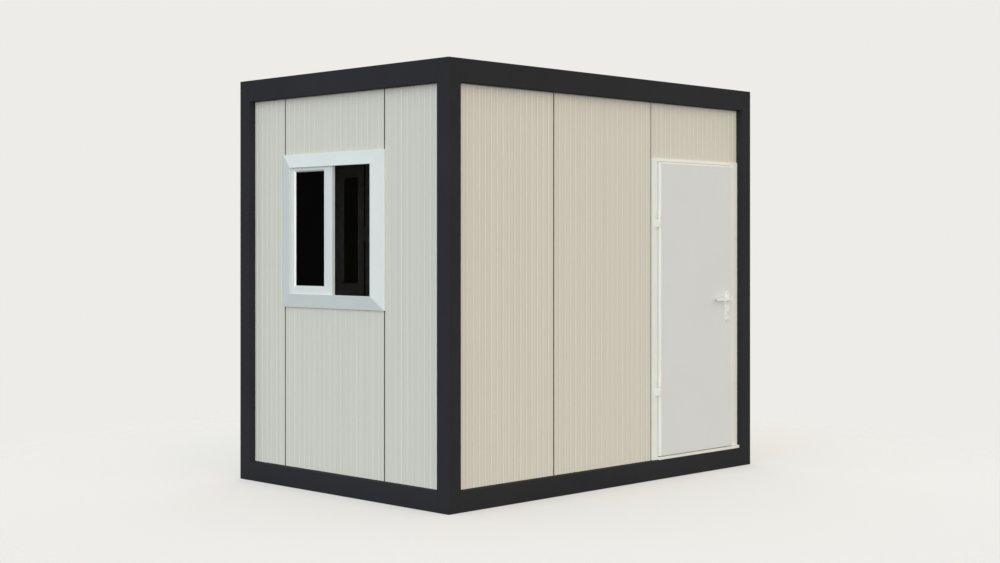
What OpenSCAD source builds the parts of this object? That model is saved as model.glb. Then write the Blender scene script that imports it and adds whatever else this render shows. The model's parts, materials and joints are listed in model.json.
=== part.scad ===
// Guard booth: a black steel frame with grooved wall panels, a sliding window in one end
// and an outward opening door at the right of the long front.
// The front is at -Y, the window end at -X, and the underside of the frame is at z = 0.

/* [Booth] */
// overall length, along the front
booth_l = 3000; // [2800:10:3300]
// overall width, along the window end
booth_w = 2000; // [1850:10:2300]
// overall height
booth_h = 2655; // [2600:5:2800]

/* [Frame] */
// side of a square corner post, and depth of every rail
post_w = 100; // [90:1:120]
// height of the base rails
base_rail_h = 125; // [110:1:140]
// height of the roof rails
roof_rail_h = 140; // [120:1:160]
// set-back of the wall panels behind the frame's outer face
panel_recess = 50; // [40:1:50]

/* [Floor] */
// thickness of the floor deck
deck_t = 20; // [16:1:28]
// width of one floor joist
joist_w = 60; // [40:1:80]
// count of floor joists
joist_count = 5; // [3:2:7]

/* [Wall panels] */
// thickness of a wall panel
panel_t = 50; // [40:1:60]
// width of a whole wall panel
panel_module = 968; // [940:1:990]
// width of the cut panel between the front post and the window panel
near_panel_w = 512; // [440:1:540]
// pitch of the face grooves
rib_pitch = 51; // [45:1:60]
// width of a groove at the panel face
groove_w = 14; // [12:1:20]
// width of a groove at its bottom
groove_bottom_w = 8; // [4:1:10]
// depth of a groove
groove_d = 1.5; // [1:0.5:3]
// open joint between two panels
joint_gap = 11; // [8:1:12]
// thickness of the tongue in a joint
tongue_t = 16; // [12:1:20]
// reach of the tongue into the next panel
tongue_l = 12; // [8:1:16]
// play round a tongue
tongue_play = 0.5; // [0.3:0.1:1]

/* [Roof] */
// thickness of a roof panel between its crowns
roof_t = 40; // [30:1:50]
// height of a roof crown above the panel
crown_h = 30; // [25:1:35]
// width of a roof crown at its foot
crown_foot_w = 60; // [50:1:70]
// width of a roof crown at its top
crown_top_w = 30; // [20:1:40]
// pitch of the roof crowns
crown_pitch = 230; // [200:1:260]
// depth of the roof crowns below the top of the rails
roof_drop = 15; // [10:1:25]
// leg of the angle that carries the roof panels
ledge_leg = 40; // [30:1:50]
// thickness of that angle
ledge_t = 4; // [3:0.5:6]

/* [Door frame] */
// width of the frame member on the hinge side
hinge_jamb_w = 71; // [60:1:80]
// width of the frame member on the lock side
lock_jamb_w = 103; // [95:1:110]
// height of the frame member over the door
head_h = 41; // [36:1:60]
// height of the panel over the door frame
over_door_h = 370; // [300:1:420]
// stand-out of the frame from the wall panels
casing_proud = 8; // [4:1:10]
// reach of the door stop into the opening
stop_w = 12; // [8:1:18]
// height of the threshold
threshold_h = 20; // [15:1:25]
// reach of the threshold's nosing in front of the wall panels
threshold_out = 27; // [18:1:32]

/* [Door leaf] */
// thickness of the whole leaf
leaf_t = 50; // [45:1:54]
// thickness of the lip that laps the frame
lip_t = 20; // [16:1:24]
// lap of the lip over the frame
lip_lap = 15; // [12:1:16]
// width of the bevel along the lip's front edges at the sides and top
lip_bevel_w = 11; // [10:1:18]
// depth of that bevel
lip_bevel_d = 8; // [6:1:11]
// play between the leaf and the frame
leaf_play = 7; // [7:0.5:9]
// play between the leaf and the door stop
stop_play = 5; // [5:0.5:7]
// play under the leaf
sill_play = 5; // [5:0.5:8]

/* [Hinges] */
// diameter of a hinge barrel
barrel_d = 14; // [12:1:15]
// height of a whole hinge
barrel_h = 107; // [90:1:120]
// diameter of a hinge pin
pin_d = 8; // [6:0.5:9]
// play round a hinge pin
pin_play = 0.3; // [0.3:0.05:0.5]
// play between the two halves of a hinge
barrel_play = 1; // [0.8:0.1:2]
// distance from the hinge axis to the leaf's edge
hinge_offset = 7; // [7:0.5:9]
// distance from the hinge axis to the leaf's face, outwards
hinge_out = 3; // [3:0.5:5]
// thickness of a hinge's plate on the frame
hinge_plate_t = 6; // [5:0.5:6]
// bite of a hinge's plate on the edge of the leaf
hinge_bite = 7; // [5:1:8]
// height of the lower hinge's middle above the leaf's bottom
hinge_low_z = 458; // [300:1:600]
// depth of the upper hinge's middle below the leaf's top
hinge_high_drop = 383; // [250:1:500]

/* [Handle] */
// width of a handle plate
plate_w = 38; // [34:1:44]
// height of a handle plate
plate_h = 205; // [190:1:240]
// thickness of a handle plate
plate_t = 8; // [6:1:10]
// distance from the lever's axis to the leaf's edge
handle_backset = 71; // [60:1:80]
// height of the lever's axis above the leaf's bottom
lever_z = 1033; // [950:1:1100]
// distance from the lever's axis to the plate's top
plate_top = 52; // [45:1:60]
// diameter of the lever's neck
neck_d = 24; // [22:1:26]
// play round the lever's neck
neck_play = 0.3; // [0.3:0.05:0.5]
// length of the neck in front of its plate
neck_l = 38; // [30:1:38]
// length of the lever from its axis
lever_l = 168; // [130:1:170]
// height of the lever's grip beside its neck
lever_h = 21; // [18:1:21]
// height of the lever's grip at its tip
lever_tip_h = 16; // [12:1:17]
// thickness of the lever's grip
lever_t = 12; // [10:1:14]
// diameter of the spindle through the leaf
spindle_d = 12; // [10:1:14]
// diameter of the spindle's hole in the leaf
spindle_hole_d = 24; // [22:1:26]

/* [Window] */
// outside width of the window's face frame
window_w = 984; // [900:1:984]
// outside height of the window's face frame
window_h = 985; // [900:1:1050]
// distance from the roof rail down to the window's face frame
window_drop = 368; // [300:1:450]
// width of the window panel beside the window's hole, on each side
window_side_w = 32; // [28:1:60]
// shift of the window's middle from its panel's middle towards the front
window_shift = 5; // [0:1:8]
// width of the window frame's sloping face at the sides
trim_side_w = 102; // [96:1:108]
// width of the window frame's sloping face at the top and bottom
trim_head_w = 87; // [84:1:95]
// stand-out of the frame at its outer edge
trim_edge_t = 15; // [10:1:20]
// stand-out of the frame at its inner edge
trim_proud = 43; // [40:1:48]
// width of the face frame outside the hole in the panel
trim_lap = 40; // [30:1:44]
// distance from the face frame's outer edge to the sash tracks
track_inset = 76; // [70:1:80]
// depth of the frame behind the panel's outer face
window_depth = 76; // [70:1:90]
// set-out of the outer sash in front of the panel's outer face
sash_out = 28; // [20:1:32]
// thickness of a sash
sash_t = 24; // [20:1:30]
// space between the two sashes, where the screen stands
sash_space = 8; // [6:1:10]
// width of the outer sash's stile in the frame
stile_w = 64; // [56:1:70]
// width of the outer sash's stile at the meeting of the sashes
meet_w = 88; // [76:1:94]
// height of the outer sash's top rail
sash_top_h = 39; // [32:1:60]
// height of the outer sash's bottom rail
sash_bottom_h = 64; // [48:1:84]
// width of the outer sash
outer_sash_w = 434; // [412:1:442]
// width of the inner sash
inner_sash_w = 300; // [285:1:310]
// width of the inner sash's stile behind the outer sash
inner_meet_w = 106; // [90:1:115]
// width of the inner sash's other stile
inner_stile_w = 64; // [56:1:74]
// height of the inner sash's top and bottom rails
inner_rail_h = 88; // [60:1:95]
// width of the fixed board beside the inner sash
inner_jamb_w = 118; // [105:1:125]
// space between the inner sash and that board
latch_gap = 18; // [14:1:22]
// width of the bevelled bead round the glass
bead_w = 10; // [8:1:14]
// thickness of a glass pane
glass_t = 6; // [4:1:8]
// depth of the glass behind the sash's face
glass_set = 10; // [8:1:16]
// thickness of the screen
screen_t = 2; // [1:0.5:3]

/* [Hidden] */
$fn = 48;
quarter_turn = 90;
overrun = panel_t;

// frame
front_run = booth_l - 2 * post_w;
end_run = booth_w - 2 * post_w;
wall_z = base_rail_h;
wall_h = booth_h - base_rail_h - roof_rail_h;
post_x = booth_l / 2 - post_w;
post_y = booth_w / 2 - post_w;

// floor
joist_h = base_rail_h - deck_t;
joist_step = front_run / (joist_count + 1);

// panel joints
tongue_y = (panel_t - tongue_t) / 2;
socket_t = tongue_t + 2 * tongue_play;
socket_y = tongue_y - tongue_play;
socket_l = tongue_l + tongue_play;

// panel runs, each measured from the post on the left as seen from outside
front_left_w = front_run - 2 * panel_module;
bay_x = front_run - panel_module;
window_hole_w = window_w - 2 * trim_lap;
window_hole_h = window_h - 2 * trim_lap;
window_panel_w = window_hole_w + 2 * window_side_w;
far_panel_w = end_run - near_panel_w - window_panel_w;
right_far_w = end_run - near_panel_w - panel_module;

// roof
roof_module = front_run / 3;
roof_z = booth_h - roof_drop - crown_h - roof_t;
ledge_clear = ledge_leg;

// door, measured along the front from the left post and from the panels' outer face
door_top_z = wall_z + wall_h - over_door_h;
open_left = bay_x + hinge_jamb_w;
open_right = front_run - lock_jamb_w;
open_top = door_top_z - head_h;
lip_left = open_left - lip_lap;
lip_right = open_right + lip_lap;
lip_top = open_top + lip_lap;
core_left = open_left + leaf_play;
core_right = open_right - leaf_play;
core_top = open_top - leaf_play;
leaf_bottom = wall_z + threshold_h + sill_play;
lip_back = -casing_proud - stop_play;
leaf_face = lip_back - lip_t;
leaf_back = leaf_face + leaf_t;
stop_y = leaf_back + stop_play;
hinge_x = lip_left - hinge_offset;
hinge_y = leaf_face - hinge_out;
half_barrel = (barrel_h - barrel_play) / 2;
hinge_zs = [leaf_bottom + hinge_low_z, lip_top - hinge_high_drop];
handle_x = lip_right - handle_backset;
handle_z = leaf_bottom + lever_z;
lever_tip_x = -lever_l + lever_tip_h / 2;

// window, measured from the face frame's own middle
window_z = wall_z + wall_h - window_drop - window_h / 2;
track_w = window_w - 2 * track_inset;
track_h = window_h - 2 * track_inset;
inner_sash_y = sash_t - sash_out + sash_space;
inner_sash_x = track_w / 2 - inner_jamb_w - latch_gap - inner_sash_w;
screen_y = inner_sash_y - (sash_space + screen_t) / 2;
trim_lip_t = trim_proud - sash_out;

// Turns a wall's own axes (along the wall, inwards, up) to the front, left end, right end or back.
module on_front() {
  translate([-post_x, -booth_w / 2 + panel_recess, 0]) children();
}

module on_left_end() {
  translate([-booth_l / 2 + panel_recess, post_y, 0]) rotate([0, 0, -quarter_turn]) children();
}

module on_right_end() {
  translate([booth_l / 2 - panel_recess, -post_y, 0]) rotate([0, 0, quarter_turn]) children();
}

module on_back() {
  translate([post_x, booth_w / 2 - panel_recess, 0]) rotate([0, 0, 2 * quarter_turn]) children();
}

// Plan outline of the outer skin's grooves between two edges of a panel, left to right.
function groove_points(left, right) =
  let (count = floor((right - left) / rib_pitch),
       first = (left + right - (count - 1) * rib_pitch) / 2)
  [for (i = [0 : count - 1])
    for (p = [[-groove_w, 0], [-groove_bottom_w, groove_d], [groove_bottom_w, groove_d], [groove_w, 0]])
      [first + i * rib_pitch + p[0] / 2, p[1]]];

// Edge of a panel at the left: plain, or with a tongue into the panel beside it.
function left_edge(tongue) = tongue
  ? [[joint_gap / 2, panel_t], [joint_gap / 2, tongue_y + tongue_t],
     [-joint_gap / 2 - tongue_l, tongue_y + tongue_t], [-joint_gap / 2 - tongue_l, tongue_y],
     [joint_gap / 2, tongue_y], [joint_gap / 2, 0]]
  : [[0, panel_t], [0, 0]];

// Edge of a panel at the right: plain, or with a socket for the next tongue.
function right_edge(w, socket) = socket
  ? [[w - joint_gap / 2, 0], [w - joint_gap / 2, socket_y],
     [w - joint_gap / 2 - socket_l, socket_y], [w - joint_gap / 2 - socket_l, socket_y + socket_t],
     [w - joint_gap / 2, socket_y + socket_t], [w - joint_gap / 2, panel_t]]
  : [[w, 0], [w, panel_t]];

// One grooved wall panel from x on, w wide, standing at z.
module wall_panel(x, w, z, h, tongue, socket) {
  left = tongue ? joint_gap / 2 : 0;
  right = socket ? w - joint_gap / 2 : w;
  translate([x, 0, z])
    linear_extrude(height = h)
      polygon(concat(left_edge(tongue), groove_points(left, right), right_edge(w, socket)));
}

// Frame of black steel sections.
module corner_post(side_x, side_y) {
  color("#2d2e2f")
    translate([side_x * (post_x + post_w / 2), side_y * (post_y + post_w / 2), booth_h / 2])
      cube([post_w, post_w, booth_h], center = true);
}

module long_rail(side_y, z, h) {
  color("#2d2e2f")
    translate([0, side_y * (post_y + post_w / 2), z + h / 2])
      cube([front_run, post_w, h], center = true);
}

module end_rail(side_x, z, h) {
  color("#2d2e2f")
    translate([side_x * (post_x + post_w / 2), 0, z + h / 2])
      cube([post_w, end_run, h], center = true);
}

module corner_post_front_left() {
  corner_post(-1, -1);
}

module corner_post_front_right() {
  corner_post(1, -1);
}

module corner_post_back_left() {
  corner_post(-1, 1);
}

module corner_post_back_right() {
  corner_post(1, 1);
}

module base_rail_front() {
  long_rail(-1, 0, base_rail_h);
}

module base_rail_back() {
  long_rail(1, 0, base_rail_h);
}

module base_rail_left() {
  end_rail(-1, 0, base_rail_h);
}

module base_rail_right() {
  end_rail(1, 0, base_rail_h);
}

module roof_rail_front() {
  long_rail(-1, booth_h - roof_rail_h, roof_rail_h);
}

module roof_rail_back() {
  long_rail(1, booth_h - roof_rail_h, roof_rail_h);
}

module roof_rail_left() {
  end_rail(-1, booth_h - roof_rail_h, roof_rail_h);
}

module roof_rail_right() {
  end_rail(1, booth_h - roof_rail_h, roof_rail_h);
}

// Floor: a deck level with the top of the base rails, on cross joists.
module floor_joists() {
  color("#3a3b3c")
    for (i = [1 : joist_count])
      translate([-post_x + i * joist_step - joist_w / 2, -post_y, 0])
        cube([joist_w, end_run, joist_h]);
}

module floor_deck() {
  color("#8f8d88")
    translate([-post_x, -post_y, joist_h])
      cube([front_run, end_run, deck_t]);
}

// Roof: panels with trapezoid crowns, inside the roof rails on an angle along each rail.
module ledge_bar(run) {
  rotate([quarter_turn, 0, quarter_turn])
    linear_extrude(height = run - 2 * ledge_clear, center = true)
      polygon([[0, 0], [ledge_leg, 0], [ledge_leg, -ledge_t], [ledge_t, -ledge_t],
               [ledge_t, -ledge_leg], [0, -ledge_leg]]);
}

module roof_ledges() {
  color("#c9cac6") {
    translate([0, -post_y, roof_z]) ledge_bar(front_run);
    translate([0, post_y, roof_z]) rotate([0, 0, 2 * quarter_turn]) ledge_bar(front_run);
    translate([-post_x, 0, roof_z]) rotate([0, 0, -quarter_turn]) ledge_bar(end_run);
    translate([post_x, 0, roof_z]) rotate([0, 0, quarter_turn]) ledge_bar(end_run);
  }
}

// Cross outline of the crowns over one roof panel, right to left.
function crown_points() =
  let (count = floor(roof_module / crown_pitch),
       first = (roof_module - (count - 1) * crown_pitch) / 2)
  [for (i = [count - 1 : -1 : 0])
    for (p = [[crown_foot_w, 0], [crown_top_w, crown_h], [-crown_top_w, crown_h], [-crown_foot_w, 0]])
      [first + i * crown_pitch + p[0] / 2, roof_t + p[1]]];

module roof_panel(place) {
  color("#c8c8c2")
    translate([-post_x + place * roof_module, post_y, roof_z])
      rotate([quarter_turn, 0, 0])
        linear_extrude(height = end_run)
          polygon(concat([[0, 0], [roof_module, 0], [roof_module, roof_t]], crown_points(), [[0, roof_t]]));
}

module roof_panel_left() {
  roof_panel(0);
}

module roof_panel_middle() {
  roof_panel(1);
}

module roof_panel_right() {
  roof_panel(2);
}

// Front wall: two panels and the short panel over the door.
module front_panel_left() {
  color("#c9c5b6") on_front() wall_panel(0, front_left_w, wall_z, wall_h, false, true);
}

module front_panel_middle() {
  color("#c9c5b6") on_front() wall_panel(front_left_w, panel_module, wall_z, wall_h, true, true);
}

module over_door_panel() {
  color("#c9c5b6")
    on_front() wall_panel(bay_x, panel_module, door_top_z, over_door_h, true, false);
}

// Window end: the window's panel stands between two cut panels.
module left_panel_back() {
  color("#c5c8c0") on_left_end() wall_panel(0, far_panel_w, wall_z, wall_h, false, true);
}

module at_window() {
  on_left_end()
    translate([far_panel_w + window_panel_w / 2 + window_shift, 0, window_z]) children();
}

module window_panel() {
  color("#c5c8c0")
    difference() {
      on_left_end() wall_panel(far_panel_w, window_panel_w, wall_z, wall_h, true, true);
      at_window()
        translate([-window_hole_w / 2, -overrun, -window_hole_h / 2])
          cube([window_hole_w, panel_t + 2 * overrun, window_hole_h]);
    }
}

module left_panel_front() {
  color("#c5c8c0")
    on_left_end() wall_panel(far_panel_w + window_panel_w, near_panel_w, wall_z, wall_h, true, false);
}

// Plain walls at the right end and the back.
module right_panel_front() {
  color("#c5c8c0") on_right_end() wall_panel(0, near_panel_w, wall_z, wall_h, false, true);
}

module right_panel_middle() {
  color("#c5c8c0") on_right_end() wall_panel(near_panel_w, panel_module, wall_z, wall_h, true, true);
}

module right_panel_back() {
  color("#c5c8c0")
    on_right_end() wall_panel(near_panel_w + panel_module, right_far_w, wall_z, wall_h, true, false);
}

module back_panel_right() {
  color("#c9c5b6") on_back() wall_panel(0, panel_module, wall_z, wall_h, false, true);
}

module back_panel_middle() {
  color("#c9c5b6") on_back() wall_panel(panel_module, panel_module, wall_z, wall_h, true, true);
}

module back_panel_left() {
  color("#c9c5b6") on_back() wall_panel(2 * panel_module, front_left_w, wall_z, wall_h, true, false);
}

// Door frame: a tongue on the hinge side enters the wall panel, the lock side meets the post.
module door_jamb_hinge() {
  color("#dcdbce")
    on_front()
      translate([bay_x, 0, wall_z])
        linear_extrude(height = door_top_z - wall_z)
          polygon(concat(
            [[joint_gap / 2, -casing_proud], [hinge_jamb_w, -casing_proud], [hinge_jamb_w, stop_y],
             [hinge_jamb_w + stop_w, stop_y], [hinge_jamb_w + stop_w, panel_t]],
            left_edge(true)));
}

module door_jamb_lock() {
  color("#dcdbce")
    on_front()
      translate([0, 0, wall_z])
        linear_extrude(height = door_top_z - wall_z)
          polygon([[open_right, -casing_proud], [front_run, -casing_proud], [front_run, panel_t],
                   [open_right - stop_w, panel_t], [open_right - stop_w, stop_y], [open_right, stop_y]]);
}

module door_head() {
  color("#dcdbce")
    on_front() {
      translate([open_left, -casing_proud, open_top])
        cube([open_right - open_left, casing_proud + stop_y, head_h]);
      translate([open_left + stop_w, stop_y, open_top - stop_w])
        cube([open_right - open_left - 2 * stop_w, panel_t - stop_y, head_h + stop_w]);
    }
}

module door_threshold() {
  color("#e4e4de")
    on_front() {
      translate([lip_left, -threshold_out, wall_z])
        cube([front_run - lip_left, threshold_out - casing_proud, threshold_h]);
      translate([open_left, -casing_proud, wall_z])
        cube([open_right - open_left, casing_proud + stop_y, threshold_h]);
      translate([open_left + stop_w, stop_y, wall_z])
        cube([open_right - open_left - 2 * stop_w, panel_t - stop_y, threshold_h]);
    }
}

// Door leaf: a lip that laps the frame, bevelled at its sides and top, and a core that closes inside it.
module leaf_lip() {
  intersection() {
    translate([0, 0, leaf_bottom])
      linear_extrude(height = lip_top - leaf_bottom)
        polygon([[lip_left, lip_back], [lip_left, leaf_face + lip_bevel_d], [lip_left + lip_bevel_w, leaf_face],
                 [lip_right - lip_bevel_w, leaf_face], [lip_right, leaf_face + lip_bevel_d],
                 [lip_right, lip_back]]);
    translate([lip_left, 0, 0])
      rotate([quarter_turn, 0, quarter_turn])
        linear_extrude(height = lip_right - lip_left)
          polygon([[lip_back, leaf_bottom], [leaf_face, leaf_bottom], [leaf_face, lip_top - lip_bevel_w],
                   [leaf_face + lip_bevel_d, lip_top], [lip_back, lip_top]]);
  }
}

module door_leaf() {
  color("#cecdc8")
    on_front()
      difference() {
        union() {
          leaf_lip();
          translate([core_left, lip_back, leaf_bottom])
            cube([core_right - core_left, leaf_back - lip_back, core_top - leaf_bottom]);
        }
        translate([handle_x, leaf_face - overrun, handle_z])
          rotate([-quarter_turn, 0, 0])
            cylinder(h = leaf_t + 2 * overrun, d = spindle_hole_d);
      }
}

// Hinges: the lower half and its pin on the frame, the upper half on the leaf.
module hinge_pins() {
  color("#e2e2de")
    on_front()
      for (z = hinge_zs)
        translate([hinge_x, hinge_y, z - barrel_h / 2]) {
          cylinder(h = half_barrel, d = barrel_d);
          cylinder(h = barrel_h - barrel_d / 2, d = pin_d);
          translate([-hinge_plate_t, 0, 0])
            cube([hinge_plate_t, -casing_proud - hinge_y, half_barrel]);
        }
}

module hinge_knuckles() {
  color("#e2e2de")
    on_front()
      for (z = hinge_zs)
        translate([hinge_x, hinge_y, z + barrel_h / 2 - half_barrel])
          difference() {
            union() {
              cylinder(h = half_barrel, d = barrel_d);
              cube([hinge_offset, hinge_out + lip_bevel_d + hinge_bite, half_barrel]);
            }
            translate([0, 0, -overrun])
              cylinder(h = overrun + half_barrel - barrel_d / 4, d = pin_d + 2 * pin_play);
          }
}

// Handle: a plate on each face of the leaf, and two levers on one spindle.
module handle_plate() {
  rotate([-quarter_turn, 0, 0])
    linear_extrude(height = plate_t)
      difference() {
        union() {
          translate([-plate_w / 2, -plate_top + plate_w / 2])
            square([plate_w, plate_h - plate_w]);
          translate([0, -plate_top + plate_w / 2])
            circle(d = plate_w);
          translate([0, plate_h - plate_top - plate_w / 2])
            circle(d = plate_w);
        }
        circle(d = neck_d + 2 * neck_play);
      }
}

module handle_plates() {
  color("#e6e6e2")
    on_front()
      translate([handle_x, 0, handle_z]) {
        translate([0, leaf_face - plate_t, 0]) handle_plate();
        translate([0, leaf_back, 0]) handle_plate();
      }
}

module lever_grip() {
  rotate([-quarter_turn, 0, 0])
    linear_extrude(height = lever_t) {
      circle(d = neck_d);
      polygon([[0, -lever_h / 2], [0, lever_h / 2], [lever_tip_x, lever_tip_h / 2], [lever_tip_x, -lever_tip_h / 2]]);
      translate([lever_tip_x, 0])
        circle(d = lever_tip_h);
    }
}

module door_lever() {
  out_y = leaf_face - plate_t - neck_l;
  in_y = leaf_back + plate_t + neck_l;
  color("#e6e6e2")
    on_front()
      translate([handle_x, 0, handle_z]) {
        translate([0, out_y, 0]) lever_grip();
        translate([0, in_y - lever_t, 0]) lever_grip();
        translate([0, out_y + lever_t / 2, 0]) rotate([-quarter_turn, 0, 0])
          cylinder(h = neck_l + plate_t - lever_t / 2, d = neck_d);
        translate([0, leaf_back, 0]) rotate([-quarter_turn, 0, 0])
          cylinder(h = neck_l + plate_t - lever_t / 2, d = neck_d);
        translate([0, leaf_face - plate_t, 0]) rotate([-quarter_turn, 0, 0])
          cylinder(h = leaf_t + 2 * plate_t, d = spindle_d);
      }
}

// Window frame: a face that slopes up on all four sides to the opening, and a sleeve
// through the wall whose tracks hold the sashes behind the face's inner lip.
function face_section(size, slope_w) =
  [[-size / 2, 0], [-size / 2, -trim_edge_t], [-size / 2 + slope_w, -trim_proud],
   [size / 2 - slope_w, -trim_proud], [size / 2, -trim_edge_t], [size / 2, 0]];

module window_face() {
  intersection() {
    linear_extrude(height = window_h, center = true)
      polygon(face_section(window_w, trim_side_w));
    rotate([0, quarter_turn, 0])
      linear_extrude(height = window_w, center = true)
        polygon(face_section(window_h, trim_head_w));
  }
}

module through_window(w, h, front, back) {
  translate([-w / 2, front, -h / 2]) cube([w, back - front, h]);
}

module window_frame() {
  lip_w = window_w - 2 * trim_side_w;
  lip_h = window_h - 2 * trim_head_w;
  color("#d6dde1")
    at_window() {
      difference() {
        union() {
          window_face();
          through_window(window_hole_w, window_hole_h, -trim_edge_t, window_depth);
        }
        through_window(lip_w, lip_h, -trim_proud - overrun, window_depth);
        through_window(track_w, track_h, -trim_proud + trim_lip_t, window_depth + overrun);
      }
      translate([track_w / 2 - inner_jamb_w, inner_sash_y, -track_h / 2])
        cube([inner_jamb_w, sash_t, track_h]);
    }
}

// A sash from its left edge and bottom: two stiles, two rails and a bevelled bead round the glass.
function bead_section(from, to) =
  [[from - bead_w, 0], [from, glass_set], [to, glass_set], [to + bead_w, 0]];

module sash(w, left_w, right_w, bottom_h, top_h) {
  right = w - right_w;
  top = track_h - top_h;
  difference() {
    cube([w, sash_t, track_h]);
    translate([left_w, -overrun, bottom_h])
      cube([right - left_w, sash_t + 2 * overrun, top - bottom_h]);
    intersection() {
      linear_extrude(height = track_h)
        polygon(bead_section(left_w, right));
      translate([0, 0, track_h])
        rotate([0, quarter_turn, 0])
          linear_extrude(height = w)
            polygon(bead_section(track_h - top, track_h - bottom_h));
    }
  }
}

module pane(w, left_w, right_w, bottom_h, top_h) {
  translate([left_w, glass_set, bottom_h])
    cube([w - left_w - right_w, glass_t, track_h - bottom_h - top_h]);
}

module at_outer_sash() {
  at_window() translate([-track_w / 2, -sash_out, -track_h / 2]) children();
}

module at_inner_sash() {
  at_window() translate([inner_sash_x, inner_sash_y, -track_h / 2]) children();
}

module outer_sash() {
  color("#d2d5d7") at_outer_sash() sash(outer_sash_w, stile_w, meet_w, sash_bottom_h, sash_top_h);
}

module outer_glass() {
  color("#0e1012") at_outer_sash() pane(outer_sash_w, stile_w, meet_w, sash_bottom_h, sash_top_h);
}

module inner_sash() {
  color("#d2d5d7")
    at_inner_sash() sash(inner_sash_w, inner_meet_w, inner_stile_w, inner_rail_h, inner_rail_h);
}

module inner_glass() {
  color("#0e1012")
    at_inner_sash() pane(inner_sash_w, inner_meet_w, inner_stile_w, inner_rail_h, inner_rail_h);
}

// Dark screen between the two sashes, over the inner sash and the board beside it.
module window_screen() {
  color("#1c1b18")
    at_window()
      translate([inner_sash_x, screen_y, -track_h / 2])
        cube([track_w / 2 - inner_sash_x, screen_t, track_h]);
}

corner_post_front_left();
corner_post_front_right();
corner_post_back_left();
corner_post_back_right();
base_rail_front();
base_rail_back();
base_rail_left();
base_rail_right();
roof_rail_front();
roof_rail_back();
roof_rail_left();
roof_rail_right();
floor_joists();
floor_deck();
roof_ledges();
roof_panel_left();
roof_panel_middle();
roof_panel_right();
front_panel_left();
front_panel_middle();
over_door_panel();
left_panel_front();
window_panel();
left_panel_back();
right_panel_front();
right_panel_middle();
right_panel_back();
back_panel_left();
back_panel_middle();
back_panel_right();
door_jamb_hinge();
door_jamb_lock();
door_head();
door_threshold();
door_leaf();
hinge_pins();
hinge_knuckles();
handle_plates();
door_lever();
window_frame();
outer_sash();
outer_glass();
inner_sash();
inner_glass();
window_screen();
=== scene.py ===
"""Looks of the guard booth: finishes of frame, panels, door and window, and the small fittings on them."""
import bmesh
import bpy
import json
import math
from mathutils import Matrix, Vector


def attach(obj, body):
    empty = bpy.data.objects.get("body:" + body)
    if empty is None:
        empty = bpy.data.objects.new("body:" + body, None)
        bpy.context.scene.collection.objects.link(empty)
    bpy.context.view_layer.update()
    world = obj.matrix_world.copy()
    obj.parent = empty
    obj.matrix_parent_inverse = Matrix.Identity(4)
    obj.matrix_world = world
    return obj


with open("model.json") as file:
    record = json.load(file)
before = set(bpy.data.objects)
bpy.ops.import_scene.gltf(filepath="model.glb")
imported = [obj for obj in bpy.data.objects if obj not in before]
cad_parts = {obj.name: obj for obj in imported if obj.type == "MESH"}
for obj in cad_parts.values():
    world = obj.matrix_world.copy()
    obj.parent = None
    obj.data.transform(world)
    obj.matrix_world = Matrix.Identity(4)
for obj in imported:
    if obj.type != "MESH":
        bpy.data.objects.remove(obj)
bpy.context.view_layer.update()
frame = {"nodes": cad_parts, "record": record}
nodes = frame["nodes"]
scene = bpy.context.scene
MM = 0.001

# Camera: level, at a standing eye, solved from the frame's corners in the photograph.
PHOTO_W, PHOTO_H = 1000, 563
EYE = Vector((-7.8466, -7.5237, 1.5666))
LOOK = Vector((0.7038, 0.7104, 0.0))
FOCAL_PX = 1572.47
CENTRE_PX = (463.0, 244.45)
SENSOR_MM = 36.0

lens = bpy.data.cameras.new("photo_camera")
lens.sensor_width = SENSOR_MM
lens.lens = FOCAL_PX / PHOTO_W * SENSOR_MM
lens.shift_x = (PHOTO_W / 2 - CENTRE_PX[0]) / PHOTO_W
lens.shift_y = (CENTRE_PX[1] - PHOTO_H / 2) / PHOTO_W
camera = bpy.data.objects.new("photo_camera", lens)
camera.location = EYE
camera.rotation_euler = LOOK.to_track_quat("-Z", "Y").to_euler()
scene.collection.objects.link(camera)
scene.camera = camera
scene.view_settings.view_transform = "Standard"

# Most of a noise lies between these two values, which a finish spreads over its own range.
NOISE_LOW, NOISE_HIGH = 0.3, 0.7
# Paint, plastic and float glass bend light alike.
RESIN_IOR = 1.5


def linear(hex_colour):
    """sRGB hex to linear RGBA."""
    channels = [int(hex_colour[i:i + 2], 16) / 255 for i in (1, 3, 5)]
    return [c / 12.92 if c <= 0.04045 else ((c + 0.055) / 1.055) ** 2.4 for c in channels] + [1.0]


def add(tree, kind, inputs=None, stops=None, **settings):
    """Adds one node with its settings; an input is a value or a socket to link from, stops are a ramp's."""
    node = tree.nodes.new(kind)
    for name, value in settings.items():
        setattr(node, name, value)
    for name, value in (inputs or {}).items():
        if isinstance(value, bpy.types.NodeSocket):
            tree.links.new(value, node.inputs[name])
        else:
            node.inputs[name].default_value = value
    if stops:
        for stop, (position, tone) in zip(node.color_ramp.elements, stops):
            stop.position = position
            stop.color = linear(tone)
    return node


def new_material(name):
    """Starts a material with an empty node tree."""
    material = bpy.data.materials.new(name)
    material.use_nodes = True
    material.node_tree.nodes.clear()
    return material, material.node_tree


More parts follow.
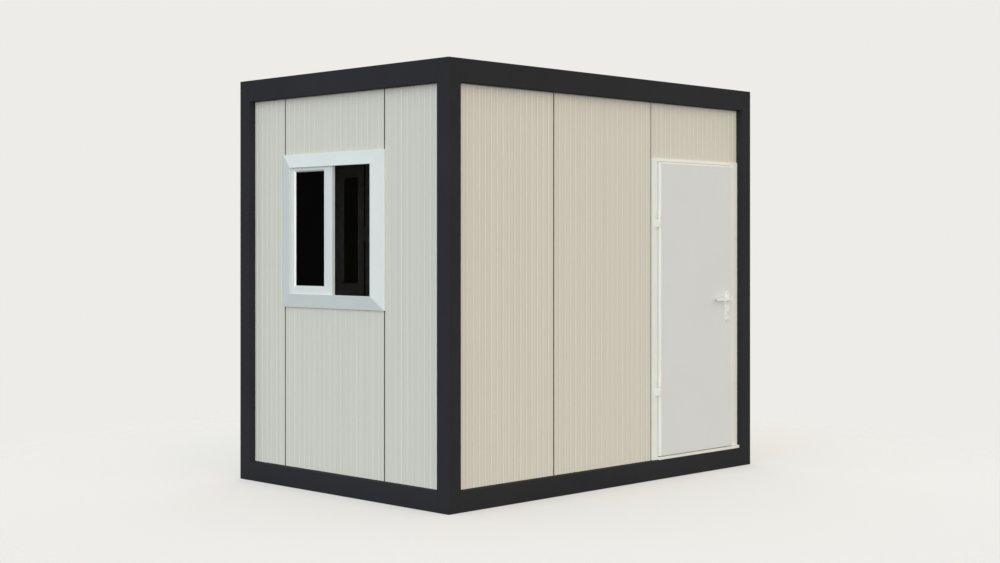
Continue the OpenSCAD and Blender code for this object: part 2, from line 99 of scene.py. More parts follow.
def coated(name, colour, shade, roughness, gloss_drift, drift_mm, grain_mm, grain_depth_mm,
           specular=0.5, roll_mm=None):
    """Paint or plastic: a slow drift of tone and gloss, and a fine grain; rolled sheet drifts in streaks."""
    material, tree = new_material(name)
    place = add(tree, "ShaderNodeTexCoord").outputs["Object"]
    drift_place = place
    if roll_mm:
        # quick across the roll and slow along it
        stretch = add(tree, "ShaderNodeMapping", {"Vector": place, "Scale": (1, 1, drift_mm / roll_mm)})
        drift_place = stretch.outputs["Vector"]
    drift = add(tree, "ShaderNodeTexNoise", {"Vector": drift_place, "Scale": 1 / (drift_mm * MM),
                                             "Detail": 4.0, "Roughness": 0.6}).outputs["Fac"]
    tone = add(tree, "ShaderNodeValToRGB", {"Fac": drift}, stops=((NOISE_LOW, shade), (NOISE_HIGH, colour)))
    gloss = add(tree, "ShaderNodeMapRange", {"Value": drift, "From Min": NOISE_LOW, "From Max": NOISE_HIGH,
                                             "To Min": roughness - gloss_drift,
                                             "To Max": roughness + gloss_drift})
    grain = add(tree, "ShaderNodeTexNoise", {"Vector": place, "Scale": 1 / (grain_mm * MM), "Detail": 2.0})
    bump = add(tree, "ShaderNodeBump", {"Height": grain.outputs["Fac"], "Strength": 1.0,
                                        "Distance": grain_depth_mm * MM})
    shader = add(tree, "ShaderNodeBsdfPrincipled", {"Base Color": tone.outputs["Color"],
                                                    "Roughness": gloss.outputs["Result"],
                                                    "Normal": bump.outputs["Normal"],
                                                    "IOR": RESIN_IOR, "Specular IOR Level": specular})
    add(tree, "ShaderNodeOutputMaterial", {"Surface": shader.outputs["BSDF"]})
    return material


# Powder-coated steel, black: an even satin skin with a fine orange peel.
frame_black = coated("powder_coated_steel_black", "#2f2f31", "#2b2b2d", roughness=0.6, gloss_drift=0.05,
                     drift_mm=400, grain_mm=2.5, grain_depth_mm=0.03, specular=0.02)
# Coil-coated steel sheet, off white: flat and satin, with faint streaks up the roll.
panel_coat = coated("coil_coated_sheet_off_white", "#ccc9be", "#c6c4b8", roughness=0.5, gloss_drift=0.05,
                    drift_mm=22, grain_mm=3.0, grain_depth_mm=0.02, specular=0.3, roll_mm=2600)
# The same sheet on the roof, a little duller from the weather.
roof_coat = coated("coil_coated_sheet_roof", "#c6c6bf", "#bababa", roughness=0.6, gloss_drift=0.06,
                   drift_mm=260, grain_mm=3.0, grain_depth_mm=0.03, specular=0.2)
# Sprayed steel door leaf, pale grey: smooth, with a soft gloss.
leaf_paint = coated("sprayed_steel_pale_grey", "#d1d3d2", "#ced0cf", roughness=0.42, gloss_drift=0.05,
                    drift_mm=350, grain_mm=2.0, grain_depth_mm=0.02, specular=0.3)
# Sprayed steel door frame, ivory: smooth, with a soft gloss.
casing_paint = coated("sprayed_steel_ivory", "#dee1da", "#dadcd6", roughness=0.42, gloss_drift=0.05,
                      drift_mm=350, grain_mm=2.0, grain_depth_mm=0.02, specular=0.3)
# Extruded white window plastic: smooth and a little glossy.
window_plastic = coated("extruded_pvc_white", "#d1d5d1", "#cdd1cd", roughness=0.34, gloss_drift=0.04,
                        drift_mm=200, grain_mm=1.5, grain_depth_mm=0.008, specular=0.4)
# Powder-coated die-cast handles, white: glossy enough for soft highlights.
fitting_white = coated("powder_coated_fittings_white", "#e0e3de", "#dadcd8", roughness=0.3, gloss_drift=0.05,
                       drift_mm=60, grain_mm=1.2, grain_depth_mm=0.01)
# Powder-coated upper halves of the hinges, ivory; the lower halves are sprayed with the door frame.
hinge_ivory = coated("powder_coated_hinges_ivory", "#e2e5de", "#dcdfd8", roughness=0.36, gloss_drift=0.05,
                     drift_mm=40, grain_mm=1.2, grain_depth_mm=0.01, specular=0.4)
# Whiter strip on the leaf's bevels, smooth and slightly glossy: a painted highlight along the lip's edge.
bevel_highlight_white = coated("bevel_strip_painted_highlight", "#d9dad6", "#d4d5d1", roughness=0.34, gloss_drift=0.04,
                    drift_mm=200, grain_mm=1.5, grain_depth_mm=0.008, specular=0.4)
# Vinyl-covered floor board, mid grey, with fine flecks.
floor_vinyl = coated("vinyl_covered_board_grey", "#8f8d88", "#807e79", roughness=0.55, gloss_drift=0.08,
                     drift_mm=12, grain_mm=4.0, grain_depth_mm=0.05)
# Steel joists in black primer: dull and a little rough.
joist_primer = coated("primed_steel_black", "#26272a", "#1f2022", roughness=0.65, gloss_drift=0.05,
                      drift_mm=200, grain_mm=3.0, grain_depth_mm=0.04, specular=0.3)
# Angle under the roof in white paint: satin, with a faint brushed grain.
ledge_paint = coated("painted_steel_white", "#c9cac6", "#c3c4c0", roughness=0.45, gloss_drift=0.05,
                     drift_mm=200, grain_mm=2.0, grain_depth_mm=0.02)
# Extruded rubber gasket, black: matt, with a faint bloom.
gasket_rubber = coated("extruded_rubber_black", "#1b1b19", "#141413", roughness=0.75, gloss_drift=0.06,
                       drift_mm=30, grain_mm=1.0, grain_depth_mm=0.02, specular=0.2)
# Soft foam seals behind the leaf's lip: at the sides a pale grey, set light to lift the shadow gap beside the
# lip (painted light); along the head a darker grey, a painted shade line above the leaf.
lip_foam_painted_light = coated("foamed_rubber_pale_grey_painted_light", "#d3d3ca", "#c9c9c0", roughness=0.85, gloss_drift=0.05,
                  drift_mm=15, grain_mm=1.5, grain_depth_mm=0.05, specular=0.2)
head_foam_painted_shade = coated("foamed_rubber_grey_painted_shade", "#b6b6ae", "#acaca4", roughness=0.85, gloss_drift=0.05,
                   drift_mm=15, grain_mm=1.5, grain_depth_mm=0.05, specular=0.2)
# Grey butyl sealant along the roof's edges: soft and slightly uneven.
roof_sealant = coated("tooled_sealant_grey", "#8d8e8c", "#7d7e7c", roughness=0.6, gloss_drift=0.08,
                      drift_mm=25, grain_mm=6.0, grain_depth_mm=0.3)

# Brush lines on bright metal: how many times longer than wide they are, and how deep.
HAIRLINE_RUN, HAIRLINE_DEPTH_MM = 25, 0.01


def bare_metal(name, colour, shade, roughness, gloss_drift, brush_mm):
    """Bright metal: fine upright brush lines in tone, gloss and bump."""
    material, tree = new_material(name)
    place = add(tree, "ShaderNodeTexCoord").outputs["Object"]
    lines = add(tree, "ShaderNodeMapping", {"Vector": place, "Scale": (1, 1, 1 / HAIRLINE_RUN)})
    brush = add(tree, "ShaderNodeTexNoise", {"Vector": lines.outputs["Vector"], "Scale": 1 / (brush_mm * MM),
                                             "Detail": 3.0}).outputs["Fac"]
    tone = add(tree, "ShaderNodeValToRGB", {"Fac": brush}, stops=((NOISE_LOW, shade), (NOISE_HIGH, colour)))
    gloss = add(tree, "ShaderNodeMapRange", {"Value": brush, "From Min": NOISE_LOW, "From Max": NOISE_HIGH,
                                             "To Min": roughness - gloss_drift,
                                             "To Max": roughness + gloss_drift})
    bump = add(tree, "ShaderNodeBump", {"Height": brush, "Strength": 0.4,
                                        "Distance": HAIRLINE_DEPTH_MM * MM})
    shader = add(tree, "ShaderNodeBsdfPrincipled", {"Base Color": tone.outputs["Color"], "Metallic": 1.0,
                                                    "Roughness": gloss.outputs["Result"],
                                                    "Normal": bump.outputs["Normal"]})
    add(tree, "ShaderNodeOutputMaterial", {"Surface": shader.outputs["BSDF"]})
    return material


# Zinc-plated screws and lock parts: bright grey with fine brush lines.
zinc_plate = bare_metal("zinc_plated_steel", "#b4b6b8", "#9c9ea1", roughness=0.36, gloss_drift=0.08,
                        brush_mm=0.6)
# Satin nickel-plated lock cylinder: lighter than the screws, with a soft sheen.
nickel_plate = bare_metal("satin_nickel_plated_brass", "#dcdedf", "#cfd1d2", roughness=0.42, gloss_drift=0.06,
                          brush_mm=0.5)

# Clouds of tone in a pane, and how much its clearness varies with them.
PANE_DRIFT_MM, CLEAR_DRIFT = 180, 0.1


def see_through(name, colour, shade, roughness, specular, clear_share, weave_mm=None):
    """A dark pane, or a dark woven screen, that lets a small share of the view through."""
    material, tree = new_material(name)
    place = add(tree, "ShaderNodeTexCoord").outputs["Object"]
    drift = add(tree, "ShaderNodeTexNoise", {"Vector": place, "Scale": 1 / (PANE_DRIFT_MM * MM),
                                             "Detail": 2.0}).outputs["Fac"]
    tone = add(tree, "ShaderNodeValToRGB", {"Fac": drift}, stops=((NOISE_LOW, shade), (NOISE_HIGH, colour)))
    shader = add(tree, "ShaderNodeBsdfPrincipled", {"Base Color": tone.outputs["Color"],
                                                    "Roughness": roughness, "IOR": RESIN_IOR,
                                                    "Specular IOR Level": specular})
    if weave_mm:
        # open squares between the threads: both waves are high there, over the given share of the cloth
        thread = math.cos(math.pi * math.sqrt(clear_share))
        across = add(tree, "ShaderNodeSeparateXYZ", {"Vector": place})
        gaps = []
        for axis in "YZ":
            phase = add(tree, "ShaderNodeMath", {0: across.outputs[axis], 1: 2 * math.pi / (weave_mm * MM)},
                        operation="MULTIPLY")
            wave = add(tree, "ShaderNodeMath", {0: phase.outputs["Value"]}, operation="SINE")
            gap = add(tree, "ShaderNodeMath", {0: wave.outputs["Value"], 1: thread}, operation="GREATER_THAN")
            gaps.append(gap.outputs["Value"])
        share = add(tree, "ShaderNodeMath", {0: gaps[0], 1: gaps[1]}, operation="MULTIPLY").outputs["Value"]
    else:
        share = add(tree, "ShaderNodeMapRange", {"Value": drift, "From Min": NOISE_LOW,
                                                 "From Max": NOISE_HIGH,
                                                 "To Min": clear_share * (1 - CLEAR_DRIFT),
                                                 "To Max": clear_share * (1 + CLEAR_DRIFT)}).outputs["Result"]
    clear = add(tree, "ShaderNodeBsdfTransparent", {"Color": linear("#ffffff")})
    mixed = add(tree, "ShaderNodeMixShader", {"Fac": share, 1: shader.outputs["BSDF"],
                                              2: clear.outputs["BSDF"]})
    add(tree, "ShaderNodeOutputMaterial", {"Surface": mixed.outputs["Shader"]})
    return material


# Float glass, almost black and smooth: its dark tone and tiny clear share are painted shade of the unlit room
# behind it.
glass_painted_shade = see_through("float_glass_painted_shade", "#020202", "#010101", roughness=0.05, specular=0.008,
                           clear_share=0.02)
# Woven fly screen: matt near-black threads with small open squares, drawn at 3 mm so that they show; the dark
# is partly the screen's charcoal and partly painted shade of the recess behind.
screen_weave_and_shade = see_through("woven_screen_charcoal_and_shade", "#080603", "#060402", roughness=0.85, specular=0.01,
                           clear_share=0.24, weave_mm=3.0)

FINISH = {"frame_steel": frame_black, "joist_steel": joist_primer, "floor_board": floor_vinyl,
          "roof_panel": roof_coat, "ledge_steel": ledge_paint, "wall_panel": panel_coat,
          "door_frame": casing_paint, "door_leaf": leaf_paint, "door_fittings": fitting_white,
          "window_plastic": window_plastic, "window_glass": glass_painted_shade, "screen_mesh": screen_weave_and_shade}
# Rounding of the solids' edges, in millimetres, where the real edges are rolled, moulded or cast.
ROUNDING = {"frame_steel": 2.0, "door_frame": 1.0, "door_leaf": 1.2, "door_fittings": 1.6,
            "window_plastic": 1.5}
SHARP_DEGREES, WELD_MM = 40, 0.01
for part in frame["record"]["subparts"]:
    node = nodes[part["node"]]
    slot = part["material_slot"]
    node.data.materials.clear()
    node.data.materials.append(FINISH[slot])
    if slot in ROUNDING:
        weld = node.modifiers.new("joined_faces", "WELD")
        weld.merge_threshold = WELD_MM * MM
        rounded = node.modifiers.new("rounded_edges", "BEVEL")
        rounded.width = ROUNDING[slot] * MM
        rounded.segments = 2
        rounded.limit_method = "ANGLE"
        rounded.angle_limit = math.radians(SHARP_DEGREES)
        rounded.harden_normals = True
nodes["hinge_pins"].data.materials[0] = casing_paint
nodes["hinge_knuckles"].data.materials[0] = hinge_ivory

# The booth's main sizes, as in the part's source. This and all that follows is in millimetres.
BAY_LENGTH = 2800  # between the corner posts, along the front
LONG_WALL, END_WALL, PANEL_T = 950, 1450, 50  # outer faces of the wall panels from the booth's middle
WINDOW_Y, WINDOW_Z = 91, 1654.5  # middle of the window in the end wall


def at(x, y, z):
    """A place in the booth's frame, from millimetres."""
    return Vector((x, y, z)) * MM


def on_front(x, y, z):
    """A place on the front wall: along it from the left post, inwards from the panels, and up."""
    return at(x - BAY_LENGTH / 2, y - LONG_WALL, z)


def on_window(x, y, z):
    """A place on the window: from its middle to the right as seen from outside, inwards, and up."""
    return at(y - END_WALL, WINDOW_Y - x, WINDOW_Z + z)


def block(bm, one, other, rounding, segments=2):
    """Adds a block between two corners, its edges rounded."""
    low = Vector([min(a, b) for a, b in zip(one, other)])
    high = Vector([max(a, b) for a, b in zip(one, other)])
    place = Matrix.Translation((low + high) / 2) @ Matrix.Diagonal((*(high - low), 1))
    made = bmesh.ops.create_cube(bm, size=1, matrix=place)["verts"]
    edges = list({e for v in made for e in v.link_edges})
    bmesh.ops.bevel(bm, geom=edges, offset=rounding * MM, affect="EDGES", segments=segments, profile=0.5,
                    material=-1)


def disc(bm, centre, axis, radius, height, rounding, segments, tip=None):
    """Adds a round head that stands up from centre along axis, its far rim rounded; tip is its far radius."""
    centre, axis = Vector(centre), Vector(axis)
    turn = Vector((0, 0, 1)).rotation_difference(axis).to_matrix().to_4x4()
    place = Matrix.Translation(centre) @ turn @ Matrix.Translation((0, 0, height * MM / 2))
    made = bmesh.ops.create_cone(bm, cap_ends=True, segments=segments, radius1=radius * MM,
                                 radius2=(radius if tip is None else tip) * MM, depth=height * MM,
                                 matrix=place)["verts"]
    far = sorted(made, key=lambda v: (v.co - centre).dot(axis))[segments:]
    rim = [e for e in {e for v in far for e in v.link_edges} if all(v in far for v in e.verts)]
    bmesh.ops.bevel(bm, geom=rim, offset=rounding * MM, affect="EDGES", segments=3, profile=0.5, material=-1)


def piece(name, body, material, bm):
    """Makes an object of a bmesh, gives it its finish and lets it ride on a body."""
    bmesh.ops.recalc_face_normals(bm, faces=bm.faces)
    mesh = bpy.data.meshes.new(name)
    bm.to_mesh(mesh)
    bm.free()
    mesh.materials.append(material)
    made = bpy.data.objects.new(name, mesh)
    scene.collection.objects.link(made)
    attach(made, body)


# Rubber strips in the open joints between the wall panels, outside and inside.
WALL_LOW, WALL_HIGH = 125, 2515
# each joint's place along its wall, and how deep the strip is set: deepest beside the door's frame
JOINT_X, JOINT_Y = ((-536, 1.5), (432, 5.0)), ((-388, 1.5), (580, 2.0))
STRIP_W, STRIP_T = 10.8, 8.0
bm = bmesh.new()
for side in (-1, 1):
    for x, inset in JOINT_X:
        for depth in (inset, PANEL_T - inset - STRIP_T):
            block(bm, at(x - STRIP_W / 2, side * (LONG_WALL - depth), WALL_LOW),
                  at(x + STRIP_W / 2, side * (LONG_WALL - depth - STRIP_T), WALL_HIGH), rounding=2.0)
    for y, inset in JOINT_Y:
        for depth in (inset, PANEL_T - inset - STRIP_T):
            block(bm, at(side * (END_WALL - depth), y - STRIP_W / 2, WALL_LOW),
                  at(side * (END_WALL - depth - STRIP_T), y + STRIP_W / 2, WALL_HIGH), rounding=2.0)
piece("wall_joint_gaskets", "booth", gasket_rubber, bm)

# Roof: caps over the panels' side joints, each a flat foot with a rib along it.
ROOF_FLAT, CROWN_TOP, ROOF_EDGE = 2610, 2640, 900
ROOF_PANELS, CROWNS = 3, 4
ROOF_MODULE = BAY_LENGTH / ROOF_PANELS
CAP_END = 896
FOOT_W, FOOT_T = 64, 2
RIB_W, RIB_LOW, RIB_HIGH = 28, 1, 16
bm = bmesh.new()
for joint in range(1, ROOF_PANELS):
    x = joint * ROOF_MODULE - BAY_LENGTH / 2
    block(bm, at(x - FOOT_W / 2, -CAP_END, ROOF_FLAT), at(x + FOOT_W / 2, CAP_END, ROOF_FLAT + FOOT_T),
          rounding=0.6)
    block(bm, at(x - RIB_W / 2, -CAP_END, ROOF_FLAT + RIB_LOW),
          at(x + RIB_W / 2, CAP_END, ROOF_FLAT + RIB_HIGH), rounding=6.0, segments=3)
piece("roof_joint_caps", "booth", roof_coat, bm)

# Roof: a bead of sealant along each end.
BEAD_W, BEAD_H = 14, 10
bm = bmesh.new()
for side in (-1, 1):
    block(bm, at(side * BAY_LENGTH / 2, -ROOF_EDGE, ROOF_FLAT),
          at(side * (BAY_LENGTH / 2 - BEAD_W), ROOF_EDGE, ROOF_FLAT + BEAD_H), rounding=4.0, segments=3)
piece("roof_edge_sealant", "booth", roof_sealant, bm)

# Roof: hexagon screws on washers, four along each crown.
FIRST_CROWN, CROWN_PITCH = 121.67, 230
SCREW_ROWS = (-780, -260, 260, 780)
WASHER_T = 1.6
bm = bmesh.new()
for panel in range(ROOF_PANELS):
    for crown in range(CROWNS):
        x = panel * ROOF_MODULE + FIRST_CROWN + crown * CROWN_PITCH - BAY_LENGTH / 2
        for y in SCREW_ROWS:
            disc(bm, at(x, y, CROWN_TOP), (0, 0, 1), radius=8, height=WASHER_T, rounding=0.5, segments=16)
            disc(bm, at(x, y, CROWN_TOP + WASHER_T), (0, 0, 1), radius=4.6, height=5, rounding=0.6,
                 segments=6)
piece("roof_screws", "booth", zinc_plate, bm)

# Window: a rubber line between each bead and its glass.
# each pane's left, right, lowest and highest line, and the depth of its face
PANES = ((-352, -70, -352.5, 377.5, -18), (86, 216, -328.5, 328.5, 14))
LINE_W, LINE_T = 3.0, 1.2
bm = bmesh.new()
for left, right, low, high, face in PANES:
    sides = ((left, left + LINE_W, low, high), (right - LINE_W, right, low, high),
             (left + LINE_W, right - LINE_W, low, low + LINE_W),
             (left + LINE_W, right - LINE_W, high - LINE_W, high))
    for x0, x1, z0, z1 in sides:
        block(bm, on_window(x0, face - LINE_T, z0), on_window(x1, face, z1), rounding=0.4, segments=1)
piece("glazing_gaskets", "booth", gasket_rubber, bm)

# Window: catch on the inner sash's free stile, a plate with a grip.
PLATE_CORNERS = (275, 6, -65), (281.5, 22, 15)
GRIP_CORNERS = (279, 8, -40), (295, 18, -10)
bm = bmesh.new()
block(bm, on_window(*PLATE_CORNERS[0]), on_window(*PLATE_CORNERS[1]), rounding=1.5)
block(bm, on_window(*GRIP_CORNERS[0]), on_window(*GRIP_CORNERS[1]), rounding=3.0, segments=3)
piece("sash_catch", "booth", window_plastic, bm)

# Window: dark brush seal down the free stile's edge, broken at the catch.
BRUSH_LEFT, BRUSH_RIGHT, BRUSH_FRONT, BRUSH_BACK = 280, 285, 6, 26
BRUSH_RUNS = ((-414, -67), (17, 414))
bm = bmesh.new()
for low, high in BRUSH_RUNS:
    block(bm, on_window(BRUSH_LEFT, BRUSH_FRONT, low), on_window(BRUSH_RIGHT, BRUSH_BACK, high), rounding=1.5)
piece("sash_brush", "booth", gasket_rubber, bm)

# Door frame: rubber seal on the face of the stop.
STOP_LEFT, STOP_RIGHT, STOP_LOW, STOP_TOP, STOP_FACE = 1905, 2695, 146, 2102, 22
SEAL_T, SEAL_W = 3.0, 8.0
seal_front = STOP_FACE - SEAL_T
bm = bmesh.new()
block(bm, on_front(STOP_LEFT, seal_front, STOP_LOW), on_front(STOP_LEFT + SEAL_W, STOP_FACE, STOP_TOP),
      rounding=1.2)
block(bm, on_front(STOP_RIGHT - SEAL_W, seal_front, STOP_LOW), on_front(STOP_RIGHT, STOP_FACE, STOP_TOP),
      rounding=1.2)
block(bm, on_front(STOP_LEFT + SEAL_W, seal_front, STOP_TOP - SEAL_W),
      on_front(STOP_RIGHT - SEAL_W, STOP_FACE, STOP_TOP), rounding=1.2)
piece("door_seal", "booth", gasket_rubber, bm)

# Door frame: foam seals behind the leaf's lip, at the sides and along the head.
LIP_LEFT, LIP_RIGHT, LIP_LOW, LIP_TOP = 1888, 2712, 150, 2119
FOAM_FRONT, FOAM_BACK = -12, -8
FOAM_INSET, FOAM_W, SHADE_LINE_ABOVE = 2, 10, 7
foam_top = LIP_TOP - FOAM_INSET - FOAM_W
bm = bmesh.new()
# the side seals' pale grey lifts the shadow gap beside the lip: painted light
for x in (LIP_LEFT + FOAM_INSET, LIP_RIGHT - FOAM_INSET - FOAM_W):
    block(bm, on_front(x, FOAM_FRONT, LIP_LOW), on_front(x + FOAM_W, FOAM_BACK, foam_top), rounding=1.0)
piece("lip_seal", "booth", lip_foam_painted_light, bm)

# the head seal rises above the lip in a darker grey: a painted shade line over the leaf
bm = bmesh.new()
block(bm, on_front(LIP_LEFT + FOAM_INSET, FOAM_FRONT, foam_top),
      on_front(LIP_RIGHT - FOAM_INSET, FOAM_BACK, LIP_TOP + SHADE_LINE_ABOVE), rounding=1.0)
piece("head_seal_shade_line", "booth", head_foam_painted_shade, bm)


def edge_plate(bm, back, face, front, rear, low, top, rounding, screw_in, screw_h):
    """Adds a plate on an upright edge, from its back to its face, with a screw at each end."""
    block(bm, on_front(back, front, low), on_front(face, rear, top), rounding)
    out = 1 if face > back else -1
    for z in (low + screw_in, top - screw_in):
        disc(bm, on_front(face, (front + rear) / 2, z), (out, 0, 0), radius=4, height=screw_h, rounding=0.2,
             segments=16)


# Door frame: strike plate in the lock side.
bm = bmesh.new()
edge_plate(bm, back=2697, face=2695.8, front=-6, rear=16, low=1040, top=1230, rounding=0.5, screw_in=15,
           screw_h=0.6)
piece("strike_plate", "booth", zinc_plate, bm)

# Door: whiter strips on the bevels of the leaf's lip, mitred at the top corners: a painted highlight along
# the bevels.
BEVEL_W, BEVEL_FRONT, BEVEL_BACK, STRIP_PROUD = 11, -33, -25, 0.8
# each mitre's plane: a place on it and its slope
LEFT_MITRE = (on_front(LIP_LEFT, 0, LIP_TOP), (1, 0, 1))
RIGHT_MITRE = (on_front(LIP_RIGHT, 0, LIP_TOP), (-1, 0, 1))
UPWARDS, ALONG = at(0, 0, LIP_TOP - LIP_LOW), at(LIP_RIGHT - LIP_LEFT, 0, 0)
# each strip's outer and inner edge where it starts, its run, and the mitres that end it
STRIPS = ((on_front(LIP_LEFT, BEVEL_BACK, LIP_LOW), on_front(LIP_LEFT + BEVEL_W, BEVEL_FRONT, LIP_LOW),
           UPWARDS, (LEFT_MITRE,)),
          (on_front(LIP_RIGHT, BEVEL_BACK, LIP_LOW), on_front(LIP_RIGHT - BEVEL_W, BEVEL_FRONT, LIP_LOW),
           UPWARDS, (RIGHT_MITRE,)),
          (on_front(LIP_LEFT, BEVEL_BACK, LIP_TOP), on_front(LIP_LEFT, BEVEL_FRONT, LIP_TOP - BEVEL_W),
           ALONG, (LEFT_MITRE, RIGHT_MITRE)))
bm = bmesh.new()
for outer, inner, run, mitres in STRIPS:
    across = inner - outer
    out = across.cross(run).normalized()
    out = out if out.y < 0 else -out
    centre = (outer + inner + run) / 2 + out * STRIP_PROUD * MM
    place = Matrix.Translation(centre) @ Matrix((across, run, out)).transposed().to_4x4()
    before = set(bm.faces)
    bmesh.ops.create_grid(bm, x_segments=1, y_segments=1, size=0.5, matrix=place)
    upright = run.z > 0
    for corner, slope in mitres:
        new = [f for f in bm.faces if f not in before]
        cut = new + list({e for f in new for e in f.edges}) + list({v for f in new for v in f.verts})
        bmesh.ops.bisect_plane(bm, geom=cut, dist=1e-7, plane_co=corner, plane_no=slope,
                               clear_outer=upright, clear_inner=not upright)
bmesh.ops.solidify(bm, geom=bm.faces[:], thickness=STRIP_PROUD * MM)
piece("leaf_bevel_highlight_strips", "door", bevel_highlight_white, bm)

# Door: lock front on the leaf's edge, with the drawn-in latch.
LATCH_CORNERS = (2690.5, -4, 1168), (2692, 8, 1198)
bm = bmesh.new()
edge_plate(bm, back=2690, face=2691, front=-8, rear=12, low=1030, top=1240, rounding=0.4, screw_in=12,
           screw_h=0.5)
block(bm, on_front(*LATCH_CORNERS[0]), on_front(*LATCH_CORNERS[1]), rounding=0.5)
piece("lock_front", "door", zinc_plate, bm)

# Door: domed caps on the hinges, the upper ones with the leaf and the lower ones with the frame.
HINGE_X, HINGE_Y, HINGE_HALF = 1881, -36, 53.5
HINGE_MIDDLES = (608, 1736)
CAPS = (("hinge_caps_upper", "door", hinge_ivory, 1), ("hinge_caps_lower", "booth", casing_paint, -1))
for name, body, finish, way in CAPS:
    bm = bmesh.new()
    for z in HINGE_MIDDLES:
        disc(bm, on_front(HINGE_X, HINGE_Y, z + way * HINGE_HALF), (0, 0, way), radius=7, height=4,
             rounding=3.2, segments=32)
    piece(name, body, finish, bm)

# Door: lock cylinder and screws in both handle plates, their slots drawn as painted shade.
HANDLE_X, HANDLE_Z = 2641, 1183
# depth of the outer and the inner plate's face, and the way out of it
PLATES = ((-41, -1), (25, 1))
CYLINDER_Z, PLATE_SCREWS = -92, (40, -141)  # up from the lever's axis
BARREL_W, BARREL_LOW, BARREL_TOP, BARREL_PROUD = 10, -22, -4, 2.6  # the cylinder's lower part
# the key slot and the screws' slots are thin black inlays on the faces: painted shade in place of cut slots
KEY_W, KEY_H, KEY_PROUD = 2.2, 9, 3.3
SLOT_W, SLOT_H, SLOT_BACK, SLOT_PROUD = 6, 1, 1.0, 1.6


def on_plate(plate, x, out, z):
    """A place on a handle plate: right of the lever's axis, out from the plate's face, and up."""
    face, way = plate
    return on_front(HANDLE_X + x, face + way * out, HANDLE_Z + z)


bm = bmesh.new()
screws = bmesh.new()
slots = bmesh.new()
for plate in PLATES:
    axis = (0, plate[1], 0)
    disc(bm, on_plate(plate, 0, 0, CYLINDER_Z), axis, radius=8.5, height=3, rounding=0.8, segments=32)
    block(bm, on_plate(plate, -BARREL_W / 2, 0, CYLINDER_Z + BARREL_LOW),
          on_plate(plate, BARREL_W / 2, BARREL_PROUD, CYLINDER_Z + BARREL_TOP), rounding=1.0)
    block(slots, on_plate(plate, -KEY_W / 2, BARREL_PROUD, CYLINDER_Z - KEY_H / 2),
          on_plate(plate, KEY_W / 2, KEY_PROUD, CYLINDER_Z + KEY_H / 2), rounding=0.3)
    for z in PLATE_SCREWS:
        disc(screws, on_plate(plate, 0, 0, z), axis, radius=4.2, height=1.4, rounding=0.9, segments=24)
        block(slots, on_plate(plate, -SLOT_W / 2, SLOT_BACK, z - SLOT_H / 2),
              on_plate(plate, SLOT_W / 2, SLOT_PROUD, z + SLOT_H / 2), rounding=0.1, segments=1)
piece("lock_cylinders", "door", nickel_plate, bm)
piece("plate_screws", "door", zinc_plate, screws)
piece("key_and_screw_slot_shade", "door", gasket_rubber, slots)

# Lever: a collar round each neck, just clear of its plate.
COLLAR_GAP = 0.4
bm = bmesh.new()
for plate in PLATES:
    disc(bm, on_plate(plate, 0, COLLAR_GAP, 0), (0, plate[1], 0), radius=16, height=7, rounding=3.0,
         segments=40, tip=14.5)
piece("lever_collars", "lever", fitting_white, bm)

# Studio, in metres: a pale floor that fades into the backdrop, even light from above and four soft lamps.
BACKDROP = "#eeece8"
FLOOR_R, FADE_START, FADE_END = 14.0, 2.2, 5.0
floor_mesh = bpy.data.meshes.new("studio_floor")
bm = bmesh.new()
bmesh.ops.create_circle(bm, cap_ends=True, segments=96, radius=FLOOR_R)
bm.to_mesh(floor_mesh)
bm.free()
floor = bpy.data.objects.new("studio_floor", floor_mesh)
scene.collection.objects.link(floor)

material, tree = new_material("studio_floor_paper")
place = add(tree, "ShaderNodeTexCoord").outputs["Object"]
reach = add(tree, "ShaderNodeVectorMath", {0: place}, operation="LENGTH")
fade = add(tree, "ShaderNodeMapRange", {"Value": reach.outputs["Value"], "From Min": FADE_START,
                                        "From Max": FADE_END, "To Min": 0.0, "To Max": 1.0},
           interpolation_type="SMOOTHSTEP")
paper = add(tree, "ShaderNodeBsdfDiffuse", {"Color": linear(BACKDROP)})
# a light table under the paper keeps the booth's shadow faint
GLOW_SHARE = 0.4
glow = add(tree, "ShaderNodeEmission", {"Color": linear(BACKDROP), "Strength": 1.0})
lit = add(tree, "ShaderNodeMixShader", {"Fac": GLOW_SHARE, 1: paper.outputs["BSDF"],
                                        2: glow.outputs["Emission"]})
# the paper gives no light back to the walls, so that they keep their tone to the foot
path = add(tree, "ShaderNodeLightPath")
unlit = add(tree, "ShaderNodeBsdfDiffuse", {"Color": linear("#000000")})
seen = add(tree, "ShaderNodeMixShader", {"Fac": path.outputs["Is Diffuse Ray"], 1: lit.outputs["Shader"],
                                         2: unlit.outputs["BSDF"]})
clear = add(tree, "ShaderNodeBsdfTransparent")
mixed = add(tree, "ShaderNodeMixShader", {"Fac": fade.outputs["Result"], 1: seen.outputs["Shader"],
                                          2: clear.outputs["BSDF"]})
add(tree, "ShaderNodeOutputMaterial", {"Surface": mixed.outputs["Shader"]})
floor_mesh.materials.append(material)

world = bpy.data.worlds.new("studio")
scene.world = world
world.use_nodes = True
tree = world.node_tree
tree.nodes.clear()
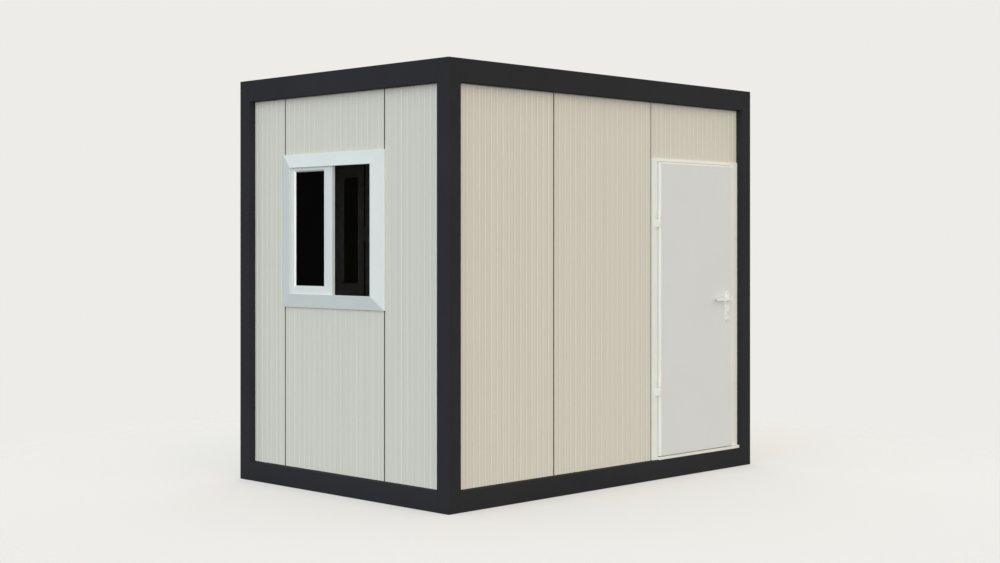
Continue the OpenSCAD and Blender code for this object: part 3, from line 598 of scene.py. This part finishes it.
# the even light comes from above the horizon alone
AMBIENT, HORIZON = 0.83, 0.05
way = add(tree, "ShaderNodeSeparateXYZ", {"Vector": add(tree, "ShaderNodeTexCoord").outputs["Generated"]})
above = add(tree, "ShaderNodeMapRange", {"Value": way.outputs["Z"], "From Min": -HORIZON, "From Max": HORIZON,
                                         "To Min": 0.0, "To Max": AMBIENT})
ambient = add(tree, "ShaderNodeBackground", {"Color": linear("#ffffff"), "Strength": above.outputs["Result"]})
# the camera, gloss and glass see the plain backdrop
backdrop = add(tree, "ShaderNodeBackground", {"Color": linear(BACKDROP), "Strength": 1.0})
path = add(tree, "ShaderNodeLightPath")
seen = add(tree, "ShaderNodeMath", {0: path.outputs["Is Camera Ray"], 1: path.outputs["Is Glossy Ray"]},
           operation="MAXIMUM")
shown = add(tree, "ShaderNodeMath", {0: seen.outputs["Value"], 1: path.outputs["Is Transmission Ray"]},
            operation="MAXIMUM")
mixed = add(tree, "ShaderNodeMixShader", {"Fac": shown.outputs["Value"], 1: ambient.outputs["Background"],
                                          2: backdrop.outputs["Background"]})
add(tree, "ShaderNodeOutputWorld", {"Surface": mixed.outputs["Shader"]})


def soft_lamp(name, towards, strength, colour, degrees):
    """A broad soft lamp far away, so that the whole wall is lit alike."""
    lamp = bpy.data.lights.new(name, "SUN")
    lamp.energy = strength
    lamp.color = linear(colour)[:3]
    lamp.angle = math.radians(degrees)
    holder = bpy.data.objects.new(name, lamp)
    holder.rotation_euler = Vector(towards).to_track_quat("-Z", "Y").to_euler()
    scene.collection.objects.link(holder)


# nearly level from the camera's side, a warm one on the front, a cool one on the end, and one from behind
soft_lamp("main_softbox", (0.62, 0.62, -0.04), strength=1.7, colour="#ffffff", degrees=12)
soft_lamp("front_softbox", (0.1, 1.0, -0.46), strength=0.6, colour="#ffd9a0", degrees=50)
soft_lamp("end_softbox", (1.0, 0.05, -0.46), strength=0.8, colour="#b4e4ff", degrees=50)
soft_lamp("back_fill", (-0.7, -0.7, -0.6), strength=0.6, colour="#ffffff", degrees=90)
